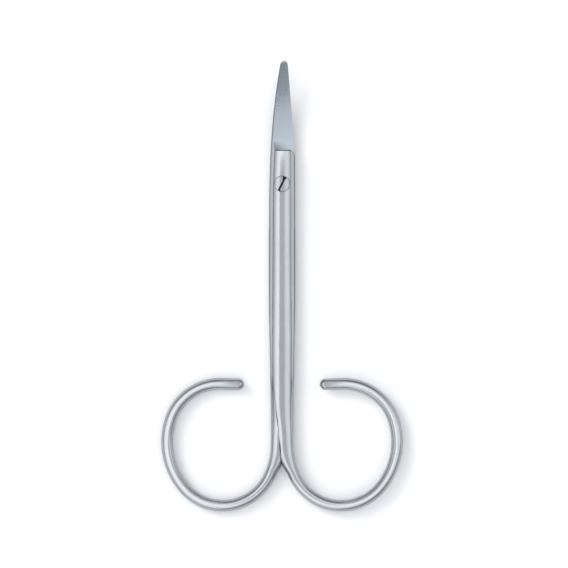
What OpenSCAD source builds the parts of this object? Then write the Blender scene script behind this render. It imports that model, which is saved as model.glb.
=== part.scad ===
// Curved nail scissors, closed.
// +Y runs to the tips, +Z along the pivot towards the screw head, +X to the ring of the upper lever.
// The origin is under the middle of the closed scissors, on the surface that they lie on.
// Each lever is one forging: a ground and curved blade, a half-round shank and a round rod bent into a finger ring.

/* [Overall] */
// Length from the blade tips to the bottom of the finger rings
overall_length = 90; // [80:1:110]
// Distance from the pivot to the blade tips
blade_reach = 24.5; // [22:0.5:30]

/* [Handle] */
// Width of the half-round shank
shank_width = 5.16; // [4.6:0.02:6]
// Thickness of one shank, half of the closed pair
shank_thickness = 2.2; // [1.9:0.1:2.5]
// Length over which the shank narrows into the rod
taper_length = 29.6; // [24:0.1:32]
// Length over which the shank thins towards the rod
thinning_length = 43.5; // [34:0.5:44]
// Diameter of the round rod
rod_diameter = 2.25; // [2.2:0.05:2.6]
// Height of each rod's axis off the parting plane, where the two rods meet side by side
rod_rise = 0.32; // [0.2:0.02:0.5]

/* [Finger rings] */
// Bend radius where the rod leaves the handle
heel_radius = 15; // [12:0.5:18]
// Bend radius round the bottom of the ring
bottom_radius = 10.3; // [9:0.1:12]
// Bend radius along the outer side of the ring
side_radius = 14.2; // [12:0.1:17]
// Bend radius over the top of the ring
top_radius = 10.4; // [9:0.1:12]
// Straight length before the free end
tail_length = 3.4; // [2:0.1:5]

/* [Blades] */
// Distance from the pivot to the shoulder where the ground face starts
shoulder_reach = 6.6; // [5.5:0.1:8]
// Radius of the upward curve of the blades
bend_radius = 32; // [28:1:60]
// Half width of a blade on its straight side, at the shoulder
straight_half_width = 2.4; // [2.2:0.02:2.5]
// Narrowing of the straight side from the shoulder to the tip
straight_drop = 1.22; // [0.8:0.02:1.4]
// Narrowing of the rounded side from the shank to the tip
curved_drop = 2.16; // [1.8:0.02:2.2]
// Thickness left at the cutting edge
edge_thickness = 0.15; // [0.1:0.01:0.3]
// Depth of the hollow ground into the inner face
hollow_depth = 0.06; // [0:0.01:0.1]
// Length of the rounded tip
tip_length = 0.9; // [0.5:0.1:1.5]
// Length over which the grinding runs out at the shoulder
runout_length = 2.2; // [1:0.1:3]
// Length over which the step at the shoulder slopes down to the ground face
step_length = 0.2; // [0.1:0.05:0.4]
// Radius of the shoulder's corner at the cutting side
corner_radius = 1; // [0.6:0.1:1.2]

/* [Pivot] */
// Diameter of the screw head
head_diameter = 3.1; // [2.7:0.1:3.6]
// Diameter of the screw below the head
screw_diameter = 1.8; // [1.4:0.1:2.2]
// Height of the head's seat above the parting plane
seat_height = 1.15; // [0.9:0.05:1.3]
// Radius of the flat land on which the levers turn
land_radius = 2.3; // [2:0.05:2.4]
// Width of the driver slot
slot_width = 0.4; // [0.3:0.05:0.6]
// Depth of the driver slot in the middle of the head
slot_depth = 0.45; // [0.3:0.05:0.6]

/* [Clearances] */
// Gap between each lever and the parting plane, outside the land
ride_gap = 0.02; // [0.015:0.005:0.04]
// Radial clearance of the screw in the upper lever
running_gap = 0.03; // [0.02:0.01:0.06]

/* [Hidden] */

steel = [0.76, 0.78, 0.8];
screw_steel = [0.7, 0.72, 0.74];
overrun = 1;
slot_turn = 62.6;
$fn = 64;

// Slope of the ground face across the blade, its steeper slope right at the shoulder, and how fast that eases off
face_slope_share = 0.22;
shoulder_slope_share = 0.42;
runout_power_share = 1.2;
// How late the two sides of the blade narrow
curved_power_share = 2.8;
straight_power_share = 1.2;
// Where the rounded side starts to narrow, behind the pivot
curved_start_share = 0.43;
// How late the shank narrows, thins, moves over to its own side and turns its flat
narrow_power_share = 1.9;
thin_power_share = 1.25;
offset_power_share = 2.8;
turn_power_share = 6;
// Width of the ledge where it has run into the round foot of the shank, as a share of the corner's radius
ledge_share = 0.35;
// Least part of the ledge that its step leaves flat
flat_share = 0.35;
// Where the crown of the shank ends over the ground face
crown_share = 0.75;
// Angles of the ring's bends, from the handle to the free end, and the largest step between two sections
turns = [25, 116, 58, 72.5];
bend_step = 8;
// Angles of the sections over the rounded free end
end_angles = [20, 40, 58, 74, 86];

// Places of the sections along each stretch, from the handle to the tip
taper_shares = [0, 0.015, 0.032, 0.055, 0.08, 0.11, 0.15, 0.19, 0.24, 0.3, 0.37, 0.45, 0.54, 0.64, 0.75, 0.87];
shank_shares = [0, 0.3, 0.65];
corner_shares = [0, 0.13, 0.35, 0.65, 1];
runout_shares = [0, 0.08, 0.18, 0.3, 0.44, 0.6, 0.8];
blade_shares = [0, 0.07, 0.14, 0.21, 0.28, 0.35, 0.42, 0.49, 0.56, 0.63, 0.7, 0.77, 0.84, 0.9, 0.96];
tip_shares = [0, 0.35, 0.6, 0.78, 0.9, 0.965, 0.99];

// Points of a section: up the flank of the spine, over the crown, along the ledge, and back along the inner face
flank_steps = 7;
crown_steps = 11;
ledge_steps = 3;
top_steps = flank_steps + crown_steps + ledge_steps;
base_steps = 5;
section_points = top_steps + 1 + base_steps;

half_width = shank_width / 2;
round_radius = (half_width * half_width + shank_thickness * shank_thickness) / (2 * shank_thickness);
round_centre = shank_thickness - round_radius;
rod_radius = rod_diameter / 2;
rod_x = sqrt(pow(rod_radius + ride_gap, 2) - rod_rise * rod_rise);
head_radius = head_diameter / 2;
screw_radius = screw_diameter / 2;

pivot_y = overall_length / 2 - blade_reach;
lift = shank_thickness;

// The rod starts so far down the handle that the ring ends at the overall length.
bends = [heel_radius, bottom_radius, side_radius, top_radius];
ring_depth = heel_radius * sin(turns[0]) + bottom_radius * (1 - sin(turns[0]));
rod_start = blade_reach - overall_length + rod_radius + ring_depth;
shank_end = rod_start + taper_length;
thin_start = rod_start + thinning_length;

// The outer face of the lower blade reaches furthest forward, because the blades curve up.
tip_slope = (blade_reach - shoulder_reach) / bend_radius;
tip_half_width = (half_width - curved_drop + straight_half_width - straight_drop) / 2;
tip_thickness = edge_thickness + face_slope_share * tip_half_width;
tip_y = blade_reach - tip_thickness * tip_slope;
tip_start = tip_y - tip_length;
curved_start = -curved_start_share * blade_reach;

function mix(a, b, share) = a + (b - a) * share;
function share_of(v, from, to) = min(max((v - from) / (to - from), 0), 1);
function towards(angle) = [cos(angle), sin(angle)];

// Inner face of the blades: flat round the pivot, then curving up, the same in every direction
function mating_height(x, y) =
    let (run = max((y > 0 ? norm([x, y]) : 0) - shoulder_reach, 0))
    bend_radius - sqrt(bend_radius * bend_radius - run * run);

function bend_angle(y) = asin(max(y - shoulder_reach, 0) / bend_radius);

// Half widths of the outline that both blades share, before the tip is rounded
function curved_side(y) = half_width - curved_drop * pow(share_of(y, curved_start, tip_start), curved_power_share);

function straight_side(y) =
    mix(half_width, straight_half_width, share_of(y, 0, shoulder_reach))
    - straight_drop * pow(share_of(y, shoulder_reach, tip_start), straight_power_share);

// Spine on the left of its own lever, cutting edge on the right. The lower blade lies just inside the outline.
function inset(y) = ride_gap * share_of(y, 0, shoulder_reach);
function spine_x(y, side) = side > 0 ? -curved_side(y) : inset(y) - straight_side(y);
function edge_x(y, side) = side > 0 ? straight_side(y) : curved_side(y) - inset(y);
function body_x(y, side) = side > 0 ? half_width : edge_x(y, side);
function middle_x(y, side) = (spine_x(y, side) + edge_x(y, side)) / 2;
function tip_width(y) = sqrt(1 - pow(share_of(y, tip_start, tip_y), 2));
function face_slope(y) =
    let (left = 1 - share_of(y, shoulder_reach, shoulder_reach + runout_length))
    mix(face_slope_share, shoulder_slope_share, pow(left, runout_power_share));

// Height of the half-round over a place given as a part of the half width, and the angle of that place
function round_height(part) = round_centre + sqrt(pow(round_radius, 2) - pow(part * half_width, 2));
function round_angle(part) = asin(part * half_width / round_radius);
foot_part = sqrt(pow(round_radius, 2) - pow(ride_gap - round_centre, 2)) / half_width;

// The half-round from one part of the half width to another, with its own width on each side of the middle
function round_points(middle, left, right, first_part, last_part, steps, skipped = 0) =
    [for (i = [skipped:steps])
        let (
            angle = mix(round_angle(first_part), round_angle(last_part), i / steps),
            part = sin(angle) * round_radius / half_width,
            width = part < 0 ? middle - left : right - middle
        )
        [middle + part * width, round_height(part)]];

// The ground face crosses a blade as a straight line. Its height in the middle, and the part where it meets the round
function face_middle(y, side) =
    ride_gap + edge_thickness + face_slope(y) * (edge_x(y, side) - middle_x(y, side));

function join_part(y, side) =
    let (
        half = (edge_x(y, side) - middle_x(y, side)) * tip_width(y),
        squeeze = half_width / half,
        slope = face_slope(y),
        height = face_middle(y, side) - round_centre,
        a = pow(squeeze, 2) + pow(slope, 2),
        b = slope * height,
        c = pow(height, 2) - pow(round_radius, 2)
    )
    (b - sqrt(b * b - a * c)) / a / half;

// The shank up to the shoulder. At the corner the crown stops short of the cutting side and a ledge runs past it.
function shank_section(y, side) =
    let (
        back = share_of(y, shoulder_reach, shoulder_reach - corner_radius),
        left = spine_x(y, side),
        right = mix(edge_x(y, side), body_x(y, side), back),
        middle = middle_x(y, side),
        width = right - middle,
        ledge = corner_radius * (1 - sqrt(1 - pow(1 - back, 2)) + ledge_share * back),
        step_foot = max(ledge - step_length, flat_share * ledge),
        crown_start = join_part(shoulder_reach, side),
        crown_end = 1 - ledge / width
    )
    concat(
        round_points(middle, left, right, -foot_part, crown_start, flank_steps),
        round_points(middle, left, right, crown_start, crown_end, crown_steps, 1),
        [for (i = [1:ledge_steps])
            let (
                gone = step_foot * (ledge_steps - i) / (ledge_steps - 1),
                height = round_height(min(1 - gone / width, foot_part)),
                ground = ride_gap + edge_thickness + face_slope_share * gone
            )
            [right - gone, mix(min(ground, height), height, share_of(back, 1 / 2, 1))]],
        [for (i = [1:base_steps]) [mix(right, left, i / (base_steps + 1)), ride_gap]]
    );

// The rounded spine up to the ground face, that face down to the cutting edge, and the hollow inner face
function blade_section(y, side) =
    let (
        middle = middle_x(y, side),
        half = (edge_x(y, side) - middle) * tip_width(y),
        join = join_part(y, side) * half,
        crown_end = mix(join, half, crown_share)
    )
    concat(
        round_points(middle, middle - half, middle + half, -foot_part, join / half, flank_steps),
        [for (i = [1:crown_steps + ledge_steps])
            let (
                x = i < crown_steps
                    ? mix(join, crown_end, i / crown_steps)
                    : mix(crown_end, half, (i - crown_steps) / ledge_steps)
            )
            [middle + x, face_middle(y, side) - face_slope(y) * x]],
        [for (i = [0:base_steps - 1])
            let (share = i / base_steps)
            [middle + half * (1 - 2 * share), ride_gap + 4 * hollow_depth * tip_width(y) * share * (1 - share)]]
    );

// The narrowing handle: a round with a flat that turns aside and runs out where the section is a full circle.
// A round no higher than half its width is the cap of a larger circle. A higher one is a half circle on straight sides.
function taper_section(y) =
    let (
        share = share_of(y, shank_end, rod_start),
        thick = mix(shank_thickness, rod_rise + rod_radius, pow(share_of(y, thin_start, rod_start), thin_power_share)),
        narrow = pow(share, narrow_power_share),
        wide_radius = mix(round_radius, rod_radius, narrow),
        wide_centre = min(mix(round_centre, rod_rise, narrow), 0),
        width = sqrt(wide_radius * wide_radius - wide_centre * wide_centre),
        radius = thick < width ? (width * width + thick * thick) / (2 * thick) : width,
        centre = [rod_x * pow(share, offset_power_share), thick - radius],
        tilt = mix(90, atan2(rod_rise, rod_x), pow(share, turn_power_share)),
        normal = towards(tilt),
        open = acos(max((ride_gap - centre * normal) / radius, -1)),
        half = min(open, 180 * top_steps / section_points),
        under = 360 - 2 * half
    )
    concat(
        [for (i = [0:top_steps]) centre + radius * towards(tilt + half - 2 * half * i / top_steps)],
        [for (i = [1:base_steps])
            let (point = centre + radius * towards(tilt - half - under * i / (base_steps + 1)))
            point + max(ride_gap - point * normal, 0) * normal]
    );

// A section set square to the curved blade. The upper blade curves away from its inner face, the lower one over it.
function placed(section, y, side) =
    let (bend = bend_angle(y))
    [for (point = section) [
        point.x,
        y - side * point.y * sin(bend),
        side * mating_height(point.x, y) + point.y * cos(bend)
    ]];

// The bends of the ring, one after the other, each starting where the last one ends
function heading(k) = k == 0 ? -90 : heading(k - 1) + turns[k - 1];
function bend_centre(k) = bend_start(k) + bends[k] * towards(heading(k) + 90);
function bend_start(k) = k == 0 ? [rod_x, rod_start] : bend_centre(k - 1) + bends[k - 1] * towards(heading(k) - 90);

// The round rod set square to its path, drawn in towards its middle at the free end
function rod_section(place, direction, part) =
    [for (point = taper_section(rod_start))
        let (offset = part * (point - [rod_x, rod_rise]))
        [each place + offset.x * towards(direction + 90), rod_rise + offset.y]];

// From the free end back to the handle
function ring_sections() =
    let (count = len(bends), last = heading(count), tail = bend_start(count), ends = len(end_angles) - 1)
    concat(
        [for (i = [ends:-1:0])
            let (reach = tail_length + rod_radius * sin(end_angles[i]))
            rod_section(tail + reach * towards(last), last, cos(end_angles[i]))],
        [rod_section(tail + tail_length * towards(last), last, 1)],
        [for (k = [count - 1:-1:0])
            let (steps = ceil(turns[k] / bend_step))
            each [for (i = [steps:-1:1])
                let (direction = heading(k) + turns[k] * i / steps)
                rod_section(bend_centre(k) + bends[k] * towards(direction - 90), direction, 1)]]
    );

function lever_sections(side) = concat(
    ring_sections(),
    [for (share = taper_shares)
        let (y = mix(rod_start, thin_start, share))
        placed(taper_section(y), y, side)],
    [for (share = shank_shares)
        let (y = mix(thin_start, shoulder_reach - corner_radius, share))
        placed(shank_section(y, side), y, side)],
    [for (share = corner_shares)
        let (y = mix(shoulder_reach - corner_radius, shoulder_reach, share))
        placed(shank_section(y, side), y, side)],
    [for (share = runout_shares)
        let (y = shoulder_reach + mix(step_length, runout_length, share))
        placed(blade_section(y, side), y, side)],
    [for (share = blade_shares)
        let (y = mix(shoulder_reach + runout_length, tip_start, share))
        placed(blade_section(y, side), y, side)],
    [for (share = tip_shares)
        let (y = mix(tip_start, tip_y, share))
        placed(blade_section(y, side), y, side)]
);

// A closed skin over a list of sections, each with the same number of points
function sum_of(points, i = 0) = i == len(points) - 1 ? points[i] : points[i] + sum_of(points, i + 1);

module skin(sections) {
    n = len(sections[0]);
    last = len(sections) - 1;
    first_cap = n * (last + 1);
    points = concat(
        [for (section = sections) each section],
        [sum_of(sections[0]) / n, sum_of(sections[last]) / n]
    );
    sides = [for (i = [0:last - 1], j = [0:n - 1])
        let (k = (j + 1) % n, a = i * n)
        each [[a + j, a + n + j, a + n + k], [a + j, a + n + k, a + k]]];
    caps = [for (j = [0:n - 1])
        let (k = (j + 1) % n, a = last * n)
        each [[first_cap, j, k], [first_cap + 1, a + k, a + j]]];
    polyhedron(points, concat(sides, caps));
}

module lever(side) {
    skin(lever_sections(side));
    cylinder(h = shank_thickness / 8, r = land_radius);
}

// The half-round of the shank, carried on as a full bar
module round_bar(height) {
    translate([0, 0, height])
        rotate([90, 0, 0])
            cylinder(h = 2 * shank_width, r = round_radius, center = true);
}

module on_the_pivot() {
    translate([0, pivot_y, lift])
        children();
}

module lower_lever() {
    color(steel)
        on_the_pivot()
            rotate([0, 180, 0])
                difference() {
                    lever(-1);
                    translate([0, 0, -overrun])
                        cylinder(h = shank_thickness + 2 * overrun, r = screw_radius);
                }
}

module upper_lever() {
    color(steel)
        on_the_pivot()
            difference() {
                lever(1);
                translate([0, 0, -overrun])
                    cylinder(h = shank_thickness + 2 * overrun, r = screw_radius + running_gap);
                translate([0, 0, seat_height])
                    cylinder(h = shank_thickness, r = head_radius + running_gap);
            }
}

// Both ends of the screw are ground flush with the round shanks.
module pivot_screw() {
    color(screw_steel)
        on_the_pivot()
            difference() {
                intersection() {
                    union() {
                        translate([0, 0, -shank_thickness])
                            cylinder(h = shank_thickness + seat_height, r = screw_radius);
                        translate([0, 0, seat_height])
                            cylinder(h = shank_thickness, r = head_radius);
                    }
                    round_bar(round_centre);
                    round_bar(-round_centre);
                }
                translate([0, 0, shank_thickness - slot_depth])
                    rotate(slot_turn)
                        translate([-head_diameter, -slot_width / 2, 0])
                            cube([2 * head_diameter, slot_width, slot_depth + overrun]);
            }
}

lower_lever();
upper_lever();
pivot_screw();
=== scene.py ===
# %% [markdown]
# # Curved nail scissors
# A pair of small scissors in stainless steel, closed and seen from straight above. Each lever is one forging: a blade
# ground hollow inside, a half-round shank, and a round rod bent into a finger ring. One slotted screw joins them.
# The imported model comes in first, as a fixed frame that every piece is built into.

# %% Load the frame
import math
import bpy
import bmesh
import numpy as np
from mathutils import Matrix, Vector


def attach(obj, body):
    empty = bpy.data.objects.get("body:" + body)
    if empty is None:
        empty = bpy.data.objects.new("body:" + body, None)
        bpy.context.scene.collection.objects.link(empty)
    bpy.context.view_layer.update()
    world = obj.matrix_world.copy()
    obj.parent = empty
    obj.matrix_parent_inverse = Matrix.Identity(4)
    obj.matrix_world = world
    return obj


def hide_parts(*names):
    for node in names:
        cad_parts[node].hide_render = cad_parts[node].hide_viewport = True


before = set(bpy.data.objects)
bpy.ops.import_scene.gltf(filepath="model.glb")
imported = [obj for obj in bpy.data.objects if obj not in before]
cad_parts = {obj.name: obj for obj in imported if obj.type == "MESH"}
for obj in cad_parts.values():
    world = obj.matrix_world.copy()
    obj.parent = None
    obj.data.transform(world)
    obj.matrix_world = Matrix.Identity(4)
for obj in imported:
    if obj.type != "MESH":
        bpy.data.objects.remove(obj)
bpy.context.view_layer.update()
MM = 0.001

# %% [markdown]
# Two helpers do all the writing of materials. Colours are written as the hex values that a paint program shows, and
# one function turns them to the linear values that the renderer counts in. The other adds a node, sets its values and
# wires its inputs, so that a material reads from top to bottom like a recipe.

# %% Helpers for colours and nodes
def linear(code, alpha=1.0):
    values = [int(code[i:i + 2], 16) / 255 for i in (1, 3, 5)]
    return [v / 12.92 if v <= 0.04045 else ((v + 0.055) / 1.055) ** 2.4 for v in values] + [alpha]


def add(tree, kind, inputs=(), **settings):
    made = tree.nodes.new(kind)
    for name, value in settings.items():
        setattr(made, name, value)
    for name, value in dict(inputs).items():
        socket = made.inputs[name]
        if isinstance(value, bpy.types.NodeSocket):
            tree.links.new(value, socket)
        else:
            socket.default_value = value
    return made


print("white is", linear("#ffffff"), "and mid grey is", [round(v, 3) for v in linear("#808080")])

# %% [markdown]
# ## The form of a lever
# A lever is drawn as a row of cross-sections from the free end of the ring to the tip, all with the same number of
# points, and a skin over them. Curve to Mesh can sweep only one profile, and here the profile changes all the way:
# a full circle in the ring, a circle with a flat that turns aside in the handle, a half-round in the shank, and a wedge
# in the blade. So the points are computed. These are the sizes, in millimetres, measured from the pivot.

# %% Sizes of the scissors
LENGTH = 90.0
BLADE_REACH = 24.5
SHANK_WIDTH = 5.16
SHANK_THICKNESS = 2.2
TAPER_LENGTH = 29.6
THINNING_LENGTH = 43.5
ROD_RADIUS = 1.125
ROD_RISE = 0.32
HEAD_RADIUS = 1.55
SCREW_RADIUS = 0.9
SEAT_HEIGHT = 1.15
SLOT_WIDTH = 0.4
SLOT_DEPTH = 0.45
SLOT_TURN = math.radians(62.6)
LAND_RADIUS = 2.3
RIDE_GAP = 0.02
RUNNING_GAP = 0.03
SHOULDER = 6.6
BEND = 32.0
CORNER = 1.0        # radius of the shank's corner at the shoulder
RUNOUT = 2.2        # length over which the ground face levels out past the shoulder
STEP = 0.2          # length of the sloping step at the shoulder
HEEL_EXTRA = 0.55   # half of what the heel is wider than the rod, where the ring starts
SLIT = 0.16         # half of the slit that is left where the rods part
EDGE = 0.15         # thickness at the cutting edge
HOLLOW = 0.06       # depth of the hollow in the inner face
SOFT_RIM = 0.07     # radius that polishing gives the rims of the head and of its seat
PIVOT = (0.0, LENGTH / 2 - BLADE_REACH, SHANK_THICKNESS)

half_width = SHANK_WIDTH / 2
round_radius = (half_width ** 2 + SHANK_THICKNESS ** 2) / (2 * SHANK_THICKNESS)
round_centre = SHANK_THICKNESS - round_radius
rod_x = math.sqrt((ROD_RADIUS + RIDE_GAP) ** 2 - ROD_RISE ** 2)
print("round of the shank", round(round_radius, 3), "rods meet at x", round(rod_x, 3))

# %% [markdown]
# The blades are one outline and one curved inner face. The outline narrows late on the rounded side and early on the
# straight side, and the inner face is a surface turned about the pivot, so that the blades pass at every angle. The
# ground outer face slopes from the spine down to the edge. It is steeper just past the shoulder, where the grinding
# wheel came in.

# %% Rules of the blade
def share_of(v, start, end):
    return min(max((v - start) / (end - start), 0.0), 1.0)


def mix(a, b, share):
    return a + (b - a) * share


SPINE_TAPER, SPINE_TAPER_START = 2.16, -0.43 * BLADE_REACH
EDGE_SIDE, EDGE_TAPER = 2.4, 1.22
FACE_SLOPE, SHOULDER_SLOPE = 0.22, 0.42
TIP_LENGTH = 0.9
tip_slope = (BLADE_REACH - SHOULDER) / BEND
tip_half = (half_width - SPINE_TAPER + EDGE_SIDE - EDGE_TAPER) / 2
tip_y = BLADE_REACH - (EDGE + FACE_SLOPE * tip_half) * tip_slope
tip_start = tip_y - TIP_LENGTH


def mating_height(x, y):
    run = max((math.hypot(x, y) if y > 0 else 0.0) - SHOULDER, 0.0)
    return BEND - math.sqrt(BEND ** 2 - run ** 2)


def curved_side(y):
    return half_width - SPINE_TAPER * share_of(y, SPINE_TAPER_START, tip_start) ** 2.8


def straight_side(y):
    return mix(half_width, EDGE_SIDE, share_of(y, 0, SHOULDER)) - EDGE_TAPER * share_of(y, SHOULDER, tip_start) ** 1.2


def inset(y):
    return RIDE_GAP * share_of(y, 0, SHOULDER)


def sides(y, side):
    if side > 0:
        return -curved_side(y), straight_side(y)
    return inset(y) - straight_side(y), curved_side(y) - inset(y)


def face_slope(y):
    return mix(FACE_SLOPE, SHOULDER_SLOPE, (1 - share_of(y, SHOULDER, SHOULDER + RUNOUT)) ** 1.2)


def tip_width(y):
    return math.sqrt(max(1 - share_of(y, tip_start, tip_y) ** 2, 0.0))


print("blade tip at", round(tip_y, 2), "mm from the pivot")

# %% [markdown]
# A section starts at the foot of the spine, climbs the flank, crosses the crown, runs down to the cutting side, and
# comes back along the inner face. Each stretch has its own count of points, the same in every section.

# %% Sections of shank and blade
FLANK, CROWN, LEDGE, BASE = 18, 34, 10, 22
LEDGE_SHARE, FLAT_SHARE = 0.35, 1 / 3
TOP = FLANK + CROWN + LEDGE
POINTS = TOP + BASE + 1
foot_part = math.sqrt(round_radius ** 2 - (RIDE_GAP - round_centre) ** 2) / half_width


def round_height(part):
    return round_centre + math.sqrt(round_radius ** 2 - (part * half_width) ** 2)


def round_points(middle, left, right, first, last, steps, skipped=0):
    a0, a1 = (math.asin(part * half_width / round_radius) for part in (first, last))
    points = []
    for i in range(skipped, steps + 1):
        part = math.sin(mix(a0, a1, i / steps)) * round_radius / half_width
        points.append((middle + part * ((middle - left) if part < 0 else (right - middle)), round_height(part)))
    return points


def join_part(y, side):
    spine, edge = sides(y, side)
    half = (edge - spine) / 2 * tip_width(y)
    slope = face_slope(y)
    height = RIDE_GAP + EDGE + slope * (edge - spine) / 2 - round_centre
    a = (half_width / half) ** 2 + slope ** 2
    b = slope * height
    return (b - math.sqrt(b * b - a * (height ** 2 - round_radius ** 2))) / a / half


def shank_section(y, side):
    back = share_of(y, SHOULDER, SHOULDER - CORNER)
    spine, edge = sides(y, side)
    middle = (spine + edge) / 2
    right = mix(edge, half_width if side > 0 else edge, back)
    width = right - middle
    ledge = CORNER * (1 - math.sqrt(1 - (1 - back) ** 2) + LEDGE_SHARE * back)
    step_foot = max(ledge - STEP, FLAT_SHARE * ledge)
    crown = join_part(SHOULDER, side)
    points = round_points(middle, spine, right, -foot_part, crown, FLANK)
    points += round_points(middle, spine, right, crown, 1 - ledge / width, CROWN, 1)
    for i in range(1, LEDGE + 1):
        gone = step_foot * (LEDGE - i) / (LEDGE - 1)
        height = round_height(min(1 - gone / width, foot_part))
        face = RIDE_GAP + EDGE + FACE_SLOPE * gone
        points.append((right - gone, mix(min(face, height), height, share_of(back, 0.5, 1))))
    points += [(mix(right, spine, i / (BASE + 1)), RIDE_GAP) for i in range(1, BASE + 1)]
    return points


def blade_section(y, side):
    spine, edge = sides(y, side)
    middle = (spine + edge) / 2
    half = (edge - spine) / 2 * tip_width(y)
    slope = face_slope(y)
    face = RIDE_GAP + EDGE + slope * (edge - spine) / 2
    join = join_part(y, side) * half
    crown_end = mix(join, half, 0.75)
    points = round_points(middle, middle - half, middle + half, -foot_part, join / half, FLANK)
    for i in range(1, CROWN + LEDGE + 1):
        x = mix(join, crown_end, i / CROWN) if i < CROWN else mix(crown_end, half, (i - CROWN) / LEDGE)
        points.append((middle + x, face - slope * x))
    for i in range(BASE):
        share = i / BASE
        points.append((middle + half * (1 - 2 * share), RIDE_GAP + 4 * HOLLOW * tip_width(y) * share * (1 - share)))
    return points


print("points in a section:", POINTS)

# %% [markdown]
# Down the handle the half-round thins, becomes an oval and moves over to its own side. The parting of the two levers
# turns on its side meanwhile, from level to nearly upright, because the round rods end up beside each other. Where the
# rods part, a narrow slit is left between them. The ring is five stretches of wire: four bends and a short straight
# tail, whose end is rounded off. The oval runs on into the first bend, until only the round rod is left.

# %% Where the ring and the handle start
BENDS = [(15.0, 25.0), (10.3, 116.0), (14.2, 58.0), (10.4, 72.5)]   # radius in mm, turn in degrees
TAIL = 3.4
START_HEADING, HEEL_END, PARTED = -90.0, -69, -60   # directions of the rod in degrees
first_turn = math.radians(BENDS[0][1])
ring_depth = BENDS[0][0] * math.sin(first_turn) + BENDS[1][0] * (1 - math.sin(first_turn))
rod_start = BLADE_REACH - LENGTH + ROD_RADIUS + ring_depth
shank_end = rod_start + TAPER_LENGTH
thin_start = rod_start + THINNING_LENGTH


def toward(degrees):
    return np.array((math.cos(math.radians(degrees)), math.sin(math.radians(degrees))))


def eased(v, start, end):
    share = share_of(v, start, end)
    return share * share * (3 - 2 * share)


# %% Where the levers part
PARTING_LEAN, PARTING_RUNS_ON = 12.0, 3
SLIT_MIDDLE, SLIT_REACH = rod_start - 0.6, 2.3


def parting(y):
    tilt = mix(90.0, PARTING_LEAN, share_of(y, shank_end, rod_start - PARTING_RUNS_ON) ** 1.35)
    slit = max(1 - ((y - SLIT_MIDDLE) / SLIT_REACH) ** 2, 0.0) ** 2
    return toward(tilt), RIDE_GAP + 0.02 * share_of(y, shank_end, rod_start) + SLIT * slit


def oval_points(centre, reach, normal, gap):
    middle = math.atan2(reach[1] * normal[1], reach[0] * normal[0])
    opened = math.acos(max((gap - centre @ normal) / np.linalg.norm(reach * normal), -1.0))
    half = min(opened, math.pi * TOP / POINTS)
    turns = [middle + half - 2 * half * i / TOP for i in range(TOP + 1)]
    turns += [middle - half - (2 * math.pi - 2 * half) * i / (BASE + 1) for i in range(1, BASE + 1)]
    points = []
    for turn in turns:
        point = centre + reach * np.array((math.cos(turn), math.sin(turn)))
        points.append(point + max(gap - point @ normal, 0.0) / (normal @ normal) * normal)
    return points


for y in (shank_end, mix(shank_end, rod_start, 0.7), rod_start):
    lean, gap = parting(y)
    print("at", round(y, 1), "mm the parting leans", round(math.degrees(math.atan2(lean[1], lean[0])), 1),
          "degrees and is", round(2 * gap, 2), "mm wide")

# %% Sections of the handle
def taper_section(y):
    share = share_of(y, shank_end, rod_start)
    thick = mix(SHANK_THICKNESS, ROD_RISE + ROD_RADIUS, share_of(y, thin_start, rod_start) ** 1.25)
    narrow = share ** 1.9
    radius, drop = mix(round_radius, ROD_RADIUS, narrow), min(mix(round_centre, ROD_RISE, narrow), 0.0)
    outer = rod_x * share ** 2.8 + math.sqrt(radius ** 2 - drop ** 2)
    low = mix(round_centre, 0.0, eased(share, 0, 0.4)) + ROD_RISE * eased(share, 0.8, 1)
    middle = (rod_x - HEEL_EXTRA) * eased(share, 0.7, 1)
    wide = (outer - middle) / math.sqrt(1 - (min(low, 0.0) / (thick - low)) ** 2)
    return oval_points(np.array((middle, low)), np.array((wide, thick - low)), *parting(y))


def ring_row(place, heading, part):
    across = toward(heading + 90)
    extra = HEEL_EXTRA * (1 - share_of(heading, START_HEADING, HEEL_END) ** 1.5)
    normal, gap = parting(place[1])
    if heading < PARTED:
        gap = gap - normal[0] * (place[0] - rod_x * across[0])
        normal = normal * (across[0], 1.0)
    else:
        gap = -LENGTH
    rod = oval_points(np.array((rod_x - extra, ROD_RISE)), np.array((ROD_RADIUS + extra, ROD_RADIUS)), normal, gap)
    return [(*(place + part * (p[0] - rod_x) * across), ROD_RISE + part * (p[1] - ROD_RISE)) for p in rod]


print("thickness where the ring starts", round(max(p[1] for p in taper_section(rod_start)), 3), "mm")

# %% The path of the ring
DOME_ANGLES = (8, 16, 24, 32, 40, 48, 56, 64, 71, 77, 82, 86, 89)


def ring_path(step=2.0):
    place, heading, path = np.array((rod_x, rod_start)), START_HEADING, []
    for radius, turn in BENDS:
        centre = place + radius * toward(heading + 90)
        steps = math.ceil(turn / step)
        path += [(centre + radius * toward(heading + turn * i / steps - 90), heading + turn * i / steps, 1.0)
                 for i in range(1, steps + 1)]
        heading += turn
        place = centre + radius * toward(heading - 90)
    path += [(place + TAIL * i / 6 * toward(heading), heading, 1.0) for i in range(1, 7)]
    path += [(place + (TAIL + ROD_RADIUS * math.sin(math.radians(a))) * toward(heading), heading,
              math.cos(math.radians(a))) for a in DOME_ANGLES]
    return path


print("bends of the ring:", BENDS, "over", round(sum(b[0] * math.radians(b[1]) for b in BENDS) + TAIL, 1), "mm of rod")

# %% [markdown]
# Every section is computed in an upright plane across the scissors. Past the shoulder that plane leans with the bend
# of the blades. For the lower lever it leans the other way, because the whole lever is turned over when it is put in
# place.

# %% Row of sections for a lever
TAPER_ROWS, SHANK_ROWS, CORNER_ROWS, RUNOUT_ROWS, BLADE_ROWS, TIP_ROWS = 110, 20, 15, 26, 60, 22


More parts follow.
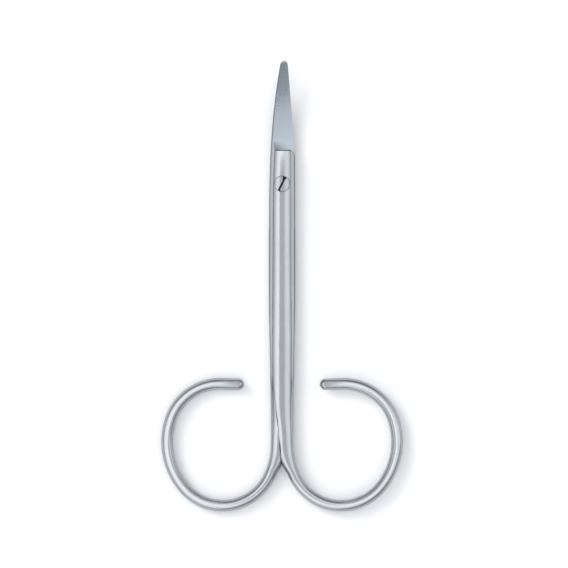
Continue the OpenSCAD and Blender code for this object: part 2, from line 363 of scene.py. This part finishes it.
def placed(section, y, side):
    bend = math.asin(max(y - SHOULDER, 0.0) / BEND)
    return [(p[0], y - side * p[1] * math.sin(bend), side * mating_height(p[0], y) + p[1] * math.cos(bend))
            for p in section]


def lever_rows(side):
    rows = [ring_row(*stop) for stop in reversed(ring_path())]
    rows += [placed(taper_section(y), y, side)
             for y in (mix(rod_start, thin_start, (i / TAPER_ROWS) ** 1.25) for i in range(TAPER_ROWS))]
    rows += [placed(shank_section(y, side), y, side)
             for y in np.linspace(thin_start, SHOULDER - CORNER, SHANK_ROWS)[:-1]]
    rows += [placed(shank_section(y, side), y, side)
             for y in (SHOULDER - CORNER * math.cos(a) for a in np.linspace(0, math.pi / 2, CORNER_ROWS))]
    rows += [placed(blade_section(y, side), y, side)
             for y in np.linspace(SHOULDER + STEP, SHOULDER + RUNOUT, RUNOUT_ROWS)[:-1]]
    rows += [placed(blade_section(y, side), y, side)
             for y in np.linspace(SHOULDER + RUNOUT, tip_start, BLADE_ROWS)[:-1]]
    rows += [placed(blade_section(y, side), y, side)
             for y in (mix(tip_start, tip_y, math.sin(a)) for a in np.linspace(0, 1.5, TIP_ROWS))]
    return np.array(rows)


rows_of = {side: lever_rows(side) for side in (1, -1)}
middles = rows_of[1].mean(1)
first_ground = int(np.argmax(middles[:, 1] > SHOULDER)) - 2
ground_from = np.cumsum(np.linalg.norm(np.diff(middles, axis=0), axis=1))[first_ground]
print("sections in a lever:", len(rows_of[1]), "ground face starts", round(float(ground_from), 1), "mm along it")

# %% [markdown]
# The skin joins each section to the next and closes both ends with a fan of triangles. It also gets a map of its own:
# how far along the lever a point lies, and how far round it, both in millimetres. The marks of polishing follow the
# rod round its bends, and this map lets the steel's pattern do the same. The faces of the blade that the grinding wheel
# touched get the second of the two steels, which comes later.

# %% Skin over the sections
INNER_GROUND = 14.0   # the grinding of the inner face starts this far before that of the outer face


def skin(name, rows):
    count, n = rows.shape[:2]
    length = np.concatenate(([0], np.cumsum(np.linalg.norm(np.diff(rows.mean(1), axis=0), axis=1))))
    ring = np.concatenate((rows, rows[:, :1]), axis=1)
    round_by = np.concatenate((np.zeros((count, 1)), np.cumsum(np.linalg.norm(np.diff(ring, axis=1), axis=2), axis=1)),
                              axis=1)
    made = bpy.data.meshes.new(name)
    body = bmesh.new()
    grain = body.loops.layers.uv.new("grain")
    grid = [[body.verts.new(point) for point in row] for row in rows]
    for i in range(count - 1):
        for j in range(n):
            k = (j + 1) % n
            face = body.faces.new((grid[i][j], grid[i + 1][j], grid[i + 1][k], grid[i][k]))
            for loop, (a, b) in zip(face.loops, ((i, j), (i + 1, j), (i + 1, j + 1), (i, j + 1))):
                loop[grain].uv = (length[a], round_by[a][b])
            outer_ground = length[i] > ground_from and FLANK <= j < TOP
            inner_ground = length[i] > ground_from - INNER_GROUND and j >= TOP
            face.material_index = int(outer_ground or inner_ground)
    for row, order in ((0, 1), (count - 1, -1)):
        middle = body.verts.new(rows[row].mean(0))
        for j in range(n):
            pair = (grid[row][j], grid[row][(j + 1) % n])[::order]
            face = body.faces.new((middle, *pair))
            for loop in face.loops:
                loop[grain].uv = (length[row], 0.0)
    body.normal_update()
    body.to_mesh(made)
    body.free()
    return made


print("faces in a skin:", (len(rows_of[1]) - 1) * POINTS + 2 * POINTS)

# %% [markdown]
# ## Bore, seat and rim
# On the real lever a flat land round the pivot carries the other lever, and the bore and the seat for the screw's head
# are drilled. Here the land is added and the holes are cut with Boolean modifiers, because a drill does the same: it
# takes a cylinder away and leaves a crisp edge. Polishing then softens the rim of the seat. The rim lies on a round
# bar, so it rises and falls, and a thin tube swept along that same curve takes the corner off it.

# %% Helpers for solids
def solid(name, mesh):
    made = bpy.data.objects.new(name, mesh)
    bpy.context.scene.collection.objects.link(made)
    return made


def cylinder(name, radius, low, high, steps=128):
    body = bmesh.new()
    grain = body.loops.layers.uv.new("grain")
    turned = bmesh.ops.create_cone(body, cap_ends=True, segments=steps, radius1=radius, radius2=radius,
                                   depth=high - low)
    bmesh.ops.translate(body, verts=turned["verts"], vec=(0, 0, (high + low) / 2))
    made = bpy.data.meshes.new(name)
    body.to_mesh(made)
    body.free()
    return solid(name, made)


def rim_tube(name, radius, thick, steps=144, sides_of_tube=10):
    body = bmesh.new()
    body.loops.layers.uv.new("grain")
    rings = []
    for i in range(steps):
        turn = 2 * math.pi * i / steps
        out = Vector((math.cos(turn), math.sin(turn), 0))
        x = radius * math.cos(turn)
        middle = out * radius + Vector((0, 0, round_centre + math.sqrt(round_radius ** 2 - x * x)))
        rings.append([body.verts.new(middle + thick * (out * math.cos(a) + Vector((0, 0, math.sin(a)))))
                      for a in (2 * math.pi * s / sides_of_tube for s in range(sides_of_tube))])
    for i in range(steps):
        for j in range(sides_of_tube):
            a, b = rings[i], rings[(i + 1) % steps]
            k = (j + 1) % sides_of_tube
            body.faces.new((a[j], b[j], b[k], a[k]))
    bmesh.ops.recalc_face_normals(body, faces=body.faces)
    made = bpy.data.meshes.new(name)
    body.to_mesh(made)
    body.free()
    return solid(name, made)


def carved(shape, steps):
    for operation, tool in steps:
        cut = shape.modifiers.new(tool.name, "BOOLEAN")
        cut.operation, cut.solver, cut.object = operation, "EXACT", tool
    graph = bpy.context.evaluated_depsgraph_get()
    mesh = bpy.data.meshes.new_from_object(shape.evaluated_get(graph))
    shape.modifiers.clear()
    shape.data = mesh
    return shape


def put(shape, turned=False):
    flip = -1 if turned else 1
    for v in shape.data.vertices:
        v.co = Vector((flip * v.co.x + PIVOT[0], v.co.y + PIVOT[1], flip * v.co.z + PIVOT[2])) * MM
    shape.data.shade_smooth()
    shape.data.set_sharp_from_angle(angle=math.radians(28))
    return shape


print("rim tube for the seat:", HEAD_RADIUS + RUNNING_GAP, "mm")

# %% [markdown]
# The two levers come from the same functions. The upper one has a bore with running room and a seat for the head, and
# the lower one has a bore in which the screw sits tight. Each then rides on its body, stands for its CAD node and has
# two empty material slots, filled later.

# %% Two levers
def make_lever(name, side):
    mesh = skin(name, rows_of[side])
    body = bmesh.new()
    body.from_mesh(mesh)
    bmesh.ops.recalc_face_normals(body, faces=body.faces)
    body.to_mesh(mesh)
    body.free()
    lever = solid(name, mesh)
    land = cylinder(name + "_land", LAND_RADIUS, 0.0, SHANK_THICKNESS / 8)
    gap = RUNNING_GAP if side > 0 else 0.0
    bore = cylinder(name + "_bore", SCREW_RADIUS + gap, -1.0, SHANK_THICKNESS + 1)
    tools = [("UNION", land), ("DIFFERENCE", bore)]
    if side > 0:
        tools.append(("DIFFERENCE", cylinder(name + "_seat", HEAD_RADIUS + gap, SEAT_HEIGHT, SHANK_THICKNESS + 1)))
        tools.append(("DIFFERENCE", rim_tube(name + "_rim", HEAD_RADIUS + gap, SOFT_RIM)))
    # Two empty places, for the polished and for the ground steel
    for _ in range(2):
        lever.data.materials.append(None)
    carved(lever, tools)
    for _, tool in tools:
        bpy.data.objects.remove(tool)
    return put(lever, turned=side < 0)


upper_lever = make_lever("upper_lever_skin", 1)
lower_lever = make_lever("lower_lever_skin", -1)
for lever, node, body in ((upper_lever, "upper_lever", "upper"), (lower_lever, "lower_lever", "lower")):
    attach(lever, body)
    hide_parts(node)
    print(lever.name, len(lever.data.polygons), "faces")

# %% [markdown]
# ## The pivot screw
# A small turned screw. After it is tightened, both its ends are ground flush with the two round shanks, so its head
# follows their crown. A turned part follows a simple rule, so it is built by Geometry Nodes: two cylinders are joined,
# what stands over the round of the shanks is ground away, and the driver slot and the softened rim are cut.

# %% Nodes that turn, grind and slot the screw
MARK_OFFSET, BIG_MARK_INSET, SMALL_MARK_INSET = 0.09, 0.38, 0.24
PUNCH_LENGTH, PUNCH_DEPTH = 1.2, 0.7
CUTTER_HEIGHT = 4.0
CROWN_LENGTH, CROWN_STEPS = 12.0, 720


def screw_nodes():
    tree = bpy.data.node_groups.new("turned and ground screw", "GeometryNodeTree")
    sizes = {"Head radius": HEAD_RADIUS, "Shaft radius": SCREW_RADIUS, "Seat height": SEAT_HEIGHT,
             "Shank thickness": SHANK_THICKNESS, "Crown radius": round_radius, "Slot width": SLOT_WIDTH,
             "Slot depth": SLOT_DEPTH, "Slot turn": SLOT_TURN, "Big mark": 0.56, "Small mark": 0.27}
    for name, value in sizes.items():
        tree.interface.new_socket(name, in_out="INPUT", socket_type="NodeSocketFloat").default_value = value
    tree.interface.new_socket("Rim", in_out="INPUT", socket_type="NodeSocketObject")
    tree.interface.new_socket("Steel", in_out="INPUT", socket_type="NodeSocketMaterial")
    tree.interface.new_socket("Geometry", in_out="OUTPUT", socket_type="NodeSocketGeometry")
    given = add(tree, "NodeGroupInput").outputs

    def sum_of(a, b, operation="ADD"):
        return add(tree, "ShaderNodeMath", {0: a, 1: b}, operation=operation).outputs[0]

    def bar(radius, length, middle, turn=(0, 0, 0), steps=160):
        round_bar = add(tree, "GeometryNodeMeshCylinder", {"Vertices": steps, "Radius": radius, "Depth": length})
        place = add(tree, "ShaderNodeCombineXYZ", {"Z": middle})
        return add(tree, "GeometryNodeTransform", {"Geometry": round_bar.outputs["Mesh"], "Rotation": turn,
                                                   "Translation": place.outputs[0]}).outputs[0]

    def joined(operation, a, b):
        inputs = {"Mesh 1": a} if operation == "DIFFERENCE" else {}
        made = add(tree, "GeometryNodeMeshBoolean", inputs, operation=operation, solver="EXACT")
        for mesh in ([b] if operation == "DIFFERENCE" else [a, b]):
            tree.links.new(mesh, made.inputs["Mesh 2"])
        return made.outputs["Mesh"]

    thick = given["Shank thickness"]
    shaft_length = sum_of(thick, given["Seat height"])
    shaft = bar(given["Shaft radius"], shaft_length,
                sum_of(sum_of(given["Seat height"], thick, "SUBTRACT"), 2.0, "DIVIDE"))
    head = bar(given["Head radius"], thick, sum_of(given["Seat height"], sum_of(thick, 2.0, "DIVIDE")))
    screw = joined("UNION", shaft, head)
    drop = sum_of(thick, given["Crown radius"], "SUBTRACT")
    along = (math.pi / 2, 0, 0)
    for middle in (drop, sum_of(drop, -1.0, "MULTIPLY")):
        screw = joined("INTERSECT", screw, bar(given["Crown radius"], CROWN_LENGTH, middle, along, CROWN_STEPS))
    size = add(tree, "ShaderNodeCombineXYZ", {"X": sum_of(given["Head radius"], 4.0, "MULTIPLY"),
                                              "Y": given["Slot width"], "Z": CUTTER_HEIGHT})
    cutter = add(tree, "GeometryNodeMeshCube", {"Size": size.outputs[0]})
    floor = sum_of(sum_of(thick, given["Slot depth"], "SUBTRACT"), CUTTER_HEIGHT / 2)
    place = add(tree, "ShaderNodeCombineXYZ", {"Z": floor})
    turn = add(tree, "ShaderNodeCombineXYZ", {"Z": given["Slot turn"]})
    slot = add(tree, "GeometryNodeTransform", {"Geometry": cutter.outputs["Mesh"], "Translation": place.outputs[0],
                                               "Rotation": turn.outputs[0]})
    screw = joined("DIFFERENCE", screw, slot.outputs[0])
    # Two three-sided punch marks at the ends of the slot keep the screw from turning
    slot_end = SLOT_TURN + MARK_OFFSET
    for name, inset, angle, turned_by in (("Big mark", BIG_MARK_INSET, slot_end, 0.0),
                                          ("Small mark", SMALL_MARK_INSET, slot_end + math.pi, math.pi)):
        punch = add(tree, "GeometryNodeMeshCone", {"Vertices": 3, "Radius Top": sum_of(given[name], 2.0, "MULTIPLY"),
                                                   "Depth": PUNCH_LENGTH, "Radius Bottom": 0.02})
        spot = add(tree, "ShaderNodeCombineXYZ", {"X": (HEAD_RADIUS - inset) * math.cos(angle),
                                                  "Y": (HEAD_RADIUS - inset) * math.sin(angle),
                                                  "Z": sum_of(thick, PUNCH_DEPTH, "SUBTRACT")})
        mark = add(tree, "GeometryNodeTransform", {"Geometry": punch.outputs["Mesh"], "Translation": spot.outputs[0],
                                                   "Rotation": (0, 0, turned_by)})
        screw = joined("DIFFERENCE", screw, mark.outputs[0])
    rim = add(tree, "GeometryNodeObjectInfo", {"Object": given["Rim"]})
    screw = joined("DIFFERENCE", screw, rim.outputs["Geometry"])
    real = add(tree, "GeometryNodeRealizeInstances", {"Geometry": screw})
    finish = add(tree, "GeometryNodeSetMaterial", {"Geometry": real.outputs[0], "Material": given["Steel"]})
    add(tree, "NodeGroupOutput", {"Geometry": finish.outputs[0]})
    return tree


screw_tree = screw_nodes()
print("nodes in the screw's tree:", len(screw_tree.nodes))

# %% [markdown]
# ## Steel
# The levers are drop-forged stainless steel. The shanks and rings are polished on a felt wheel with a fine compound,
# which leaves a satin mirror: broad, soft-edged reflections and very faint lines along the rod. The blade faces are
# ground afterwards across the blade, so their lines run the other way and their shine is flatter and bluer. A metal has
# no colour of its own beyond its reflection, so the base colour is a grey with a trace of blue, and a darker edge tint
# takes back some of the white that a pale table would give to the flanks. Real polishing lines lie some hundredths of a
# millimetre apart, too fine to show in a picture of the whole scissors, so they are drawn about 0.2 mm apart.

# %% Satin-polished and ground steel
def steel(name, tone, worn_tone, rough, rough_spread, line_spacing, line_length, lines_along, relief):
    made = bpy.data.materials.new(name)
    made.use_nodes = True
    tree = made.node_tree
    tree.nodes.clear()
    grain = add(tree, "ShaderNodeUVMap", uv_map="grain").outputs["UV"]
    run, step = 1 / line_length, 1 / line_spacing
    stretched = add(tree, "ShaderNodeMapping",
                    {"Vector": grain, "Scale": (run, step, 1.0) if lines_along else (step, run, 1.0)})
    lines = add(tree, "ShaderNodeTexNoise", {"Vector": stretched.outputs[0], "Scale": 1.0, "Detail": 5.0,
                                             "Roughness": 0.65}).outputs["Fac"]
    place = add(tree, "ShaderNodeTexCoord").outputs["Object"]
    # Handling marks, about 5 mm wide
    marks = add(tree, "ShaderNodeTexNoise", {"Vector": place, "Scale": 200.0, "Detail": 3.0,
                                             "Roughness": 0.5}).outputs["Fac"]
    tones = add(tree, "ShaderNodeMix", {"Factor": marks, "A": linear(tone), "B": linear(worn_tone)}, data_type="RGBA")
    from_marks = add(tree, "ShaderNodeMapRange", {"Value": marks, "From Min": 0.3, "From Max": 0.7,
                                                  "To Min": rough, "To Max": rough + rough_spread})
    from_lines = add(tree, "ShaderNodeMapRange", {"Value": lines, "From Min": 0.3, "From Max": 0.7,
                                                  "To Min": -rough_spread / 2, "To Max": rough_spread / 2})
    roughness = add(tree, "ShaderNodeMath", {0: from_marks.outputs[0], 1: from_lines.outputs[0]}, operation="ADD")
    bump = add(tree, "ShaderNodeBump", {"Strength": relief, "Distance": 0.02 * MM, "Height": lines})
    shader = add(tree, "ShaderNodeBsdfPrincipled",
                 {"Base Color": tones.outputs["Result"], "Metallic": 1.0, "Roughness": roughness.outputs[0],
                  "Normal": bump.outputs[0], "Specular Tint": linear("#7c8084")})
    add(tree, "ShaderNodeOutputMaterial", {"Surface": shader.outputs[0]})
    return made


# Base tone, tone of the handling marks, roughness, its spread, spacing and length of the lines in mm, whether they run
# along the lever, and how strongly they stand out
satin = steel("satin-polished stainless steel", "#bbbdc0", "#b4b7ba", 0.16, 0.06, 0.22, 9.0, True, 0.25)
ground = steel("cross-ground stainless steel", "#b0b8c0", "#a9b1b9", 0.27, 0.06, 0.25, 3.0, False, 0.18)
turned = steel("turned and ground stainless steel", "#b5b8bb", "#aaaeb1", 0.22, 0.08, 0.2, 2.0, True, 0.3)

for lever in (upper_lever, lower_lever):
    lever.data.materials[0] = satin
    lever.data.materials[1] = ground
    ground_faces = sum(face.material_index == 1 for face in lever.data.polygons)
    print(lever.name, "has", ground_faces, "ground faces of", len(lever.data.polygons))

# %% [markdown]
# The driver slot and the punch marks are given a painted shade: a dark, dull colour that stands in for the shadow deep
# in these narrow cuts. It gives the black line across the bright head. Its specks are about 0.2 mm wide.

# %% Painted shade in the slot
def paint_slot_shade():
    made = bpy.data.materials.new("painted shade in the slot")
    made.use_nodes = True
    tree = made.node_tree
    tree.nodes.clear()
    place = add(tree, "ShaderNodeTexCoord").outputs["Object"]
    shade_specks = add(tree, "ShaderNodeTexNoise", {"Vector": place, "Scale": 6000.0, "Detail": 3.0}).outputs["Fac"]
    # The dark tones are painted shade, standing in for the shadow inside the slot and the punch marks
    tones = add(tree, "ShaderNodeMix", {"Factor": shade_specks, "A": linear("#1c1d1f"), "B": linear("#3a3b3c")},
                data_type="RGBA")
    bump = add(tree, "ShaderNodeBump", {"Strength": 0.5, "Distance": 0.02 * MM, "Height": shade_specks})
    shader = add(tree, "ShaderNodeBsdfPrincipled", {"Base Color": tones.outputs["Result"], "Roughness": 0.7,
                                                    "Normal": bump.outputs[0]})
    add(tree, "ShaderNodeOutputMaterial", {"Surface": shader.outputs[0]})
    return made


# Painted shade for the slot and the punch marks
slot_shade = paint_slot_shade()
print("finishes:", [m.name for m in (satin, ground, turned, slot_shade)])

# %% [markdown]
# The nodes are now run once and their result is kept as a plain mesh, which is what the export needs. The faces under
# the crown of the head, inside its rim and above its seat, are those of the slot and the marks, and they get the
# painted shade.

# %% The screw becomes a plain mesh
def make_screw():
    screw = solid("pivot_screw_turned", bpy.data.meshes.new("pivot_screw_turned"))
    rim = rim_tube("rim", HEAD_RADIUS, SOFT_RIM)
    nodes = screw.modifiers.new("turned and ground", "NODES")
    nodes.node_group = screw_tree
    ids = {item.name: item.identifier for item in screw_tree.interface.items_tree if item.in_out == "INPUT"}
    nodes[ids["Rim"]] = rim
    nodes[ids["Steel"]] = turned
    graph = bpy.context.evaluated_depsgraph_get()
    mesh = bpy.data.meshes.new_from_object(screw.evaluated_get(graph), preserve_all_data_layers=True, depsgraph=graph)
    screw.modifiers.clear()
    screw.data = mesh
    bpy.data.objects.remove(rim)
    mesh.materials.clear()
    mesh.materials.append(turned)
    mesh.materials.append(slot_shade)
    for face in mesh.polygons:
        x, y, z = face.center
        under_crown = round_centre + math.sqrt(round_radius ** 2 - x * x) - z
        inside = math.hypot(x, y) < HEAD_RADIUS - 0.02 and z > SEAT_HEIGHT + 0.1
        # Faces of the slot and the punch marks get the painted shade
        face.material_index = int(inside and under_crown > 0.03)
    if "grain" not in mesh.uv_layers:
        mesh.uv_layers.new(name="grain")
    for loop in mesh.loops:
        at = mesh.vertices[loop.vertex_index].co
        mesh.uv_layers["grain"].data[loop.index].uv = (at.y, at.x)
    return put(screw)


pivot_screw = make_screw()
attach(pivot_screw, "lower")
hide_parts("pivot_screw")
print("screw:", len(pivot_screw.data.polygons), "faces,", [m.name for m in pivot_screw.data.materials])

# %% [markdown]
# ## Table, light and camera
# The scissors lie on a plain white table. Polished steel shows little but what stands round it, so the light is made of
# things to reflect. A pale card hangs 30 mm over the handle. Only reflections see it: the crown of the shank and the
# tops of the rods mirror it, where they would otherwise mirror the bright cloth overhead.

# %% White table and white card
def sheet(name, half_x, back, front, height, code):
    body = bmesh.new()
    corners = [body.verts.new((x, y, height)) for x, y in ((-half_x, front), (half_x, front), (half_x, back),
                                                           (-half_x, back))]
    body.faces.new(corners)
    mesh = bpy.data.meshes.new(name)
    body.to_mesh(mesh)
    body.free()
    made = solid(name, mesh)
    matt = bpy.data.materials.new("matt " + name)
    matt.use_nodes = True
    matt.node_tree.nodes.clear()
    paper = add(matt.node_tree, "ShaderNodeBsdfDiffuse", {"Color": linear(code)})
    add(matt.node_tree, "ShaderNodeOutputMaterial", {"Surface": paper.outputs[0]})
    mesh.materials.append(matt)
    return made


table = sheet("white table", 1.5, 1.5, -1.5, 0.0, "#ebebec")
card = sheet("white card", 11 * MM, 26 * MM, -46 * MM, 30 * MM, "#e4e4e5")
card.visible_camera = card.visible_diffuse = card.visible_shadow = False
print("table at z =", table.data.vertices[0].co.z, "card at z =", card.data.vertices[0].co.z)

# %% [markdown]
# Over the table stands a light tent: a soft dome of cloth, brightest overhead and a little brighter on the left. It is
# darker to the front and the back and low down, which gives round steel its dark edges. A sun through the tent's cloth
# lays the soft shadow to the lower right.

# %% Light tent
def light_tent():
    world = bpy.data.worlds.new("light tent")
    bpy.context.scene.world = world
    world.use_nodes = True
    tree = world.node_tree
    tree.nodes.clear()
    ray = add(tree, "ShaderNodeTexCoord").outputs["Generated"]
    way = add(tree, "ShaderNodeSeparateXYZ", {"Vector": ray})

    def fade(value, start, end, first, last):
        return add(tree, "ShaderNodeMapRange", {"Value": value, "From Min": start, "From Max": end, "To Min": first,
                                                "To Max": last}, interpolation_type="SMOOTHSTEP").outputs[0]

    def calc(operation, a, b=0.0):
        return add(tree, "ShaderNodeMath", {0: a, 1: b}, operation=operation).outputs[0]

    # The bright cloth is an oval that reaches from side to side, and further to the front than to the back
    across = calc("DIVIDE", way.outputs["X"], 0.9)
    deep = calc("MAXIMUM", calc("DIVIDE", way.outputs["Y"], 0.64), calc("DIVIDE", way.outputs["Y"], -0.95))
    oval = calc("ADD", calc("MULTIPLY", across, across), calc("MULTIPLY", deep, deep))
    level = calc("ADD", fade(oval, 0.5, 1.5, 1.45, 0.38), fade(way.outputs["X"], 0.5, 0.9, 0.0, 0.5))
    level = calc("ADD", level, fade(way.outputs["Z"], 0.85, 1.0, 0.0, 0.3))
    # A grey card in the right front corner darkens the lifted tips of the blades
    corner = add(tree, "ShaderNodeVectorMath", {0: ray, 1: (0.65, -0.76, 0.0)},
                 operation="DOT_PRODUCT").outputs["Value"]
    grey_card = fade(corner, 0.58, 0.75, 0.0, 1.0)
    level = calc("ADD", calc("MULTIPLY", level, calc("SUBTRACT", 1.0, grey_card)), calc("MULTIPLY", grey_card, 0.54))
    level = calc("MULTIPLY", level, fade(way.outputs["X"], -0.4, 0.4, 1.14, 0.86))
    level = calc("MULTIPLY", level, fade(way.outputs["Z"], 0.0, 0.22, 0.2, 1.0))
    cloth = add(tree, "ShaderNodeBackground", {"Color": linear("#fafcff"), "Strength": level})
    add(tree, "ShaderNodeOutputWorld", {"Surface": cloth.outputs[0]})
    return world


print("world:", light_tent().name)

# %% Sun
def lamp(name, kind, place, aim, strength, **settings):
    data = bpy.data.lights.new(name, kind)
    data.energy = strength
    for key, value in settings.items():
        setattr(data, key, value)
    made = bpy.data.objects.new(name, data)
    made.location = place
    made.rotation_euler = (Vector(aim) - Vector(place)).to_track_quat("-Z", "Y").to_euler()
    bpy.context.scene.collection.objects.link(made)
    return made


sun = lamp("soft sun", "SUN", (-0.62, 0.5, 0.7), (0, 0, 0), 1.05, angle=math.radians(26))
sun.visible_glossy = False

# %% [markdown]
# The camera looks straight down from 1.5 m with a long lens, so that one pixel of the picture is 0.2 mm on the scissors
# and the rings aren't seen from the side.

# %% Camera straight above
PIXELS, PIXEL = 568, 0.2
SENSOR = 36.0
DISTANCE = 1.5
AIM = (0.4, 0.48, 3.0)   # the point at which a pixel has its size, in mm
view = bpy.data.cameras.new("camera")
view.sensor_width = SENSOR
view.lens = SENSOR * DISTANCE / (PIXELS * PIXEL * MM)
view.clip_start, view.clip_end = 0.1, 10.0
camera = bpy.data.objects.new("camera", view)
camera.location = (AIM[0] * MM, AIM[1] * MM, DISTANCE + AIM[2] * MM)
bpy.context.scene.collection.objects.link(camera)
bpy.context.scene.camera = camera
bpy.context.scene.view_settings.view_transform = "Standard"
print("lens", round(view.lens, 1), "mm at", DISTANCE, "m")
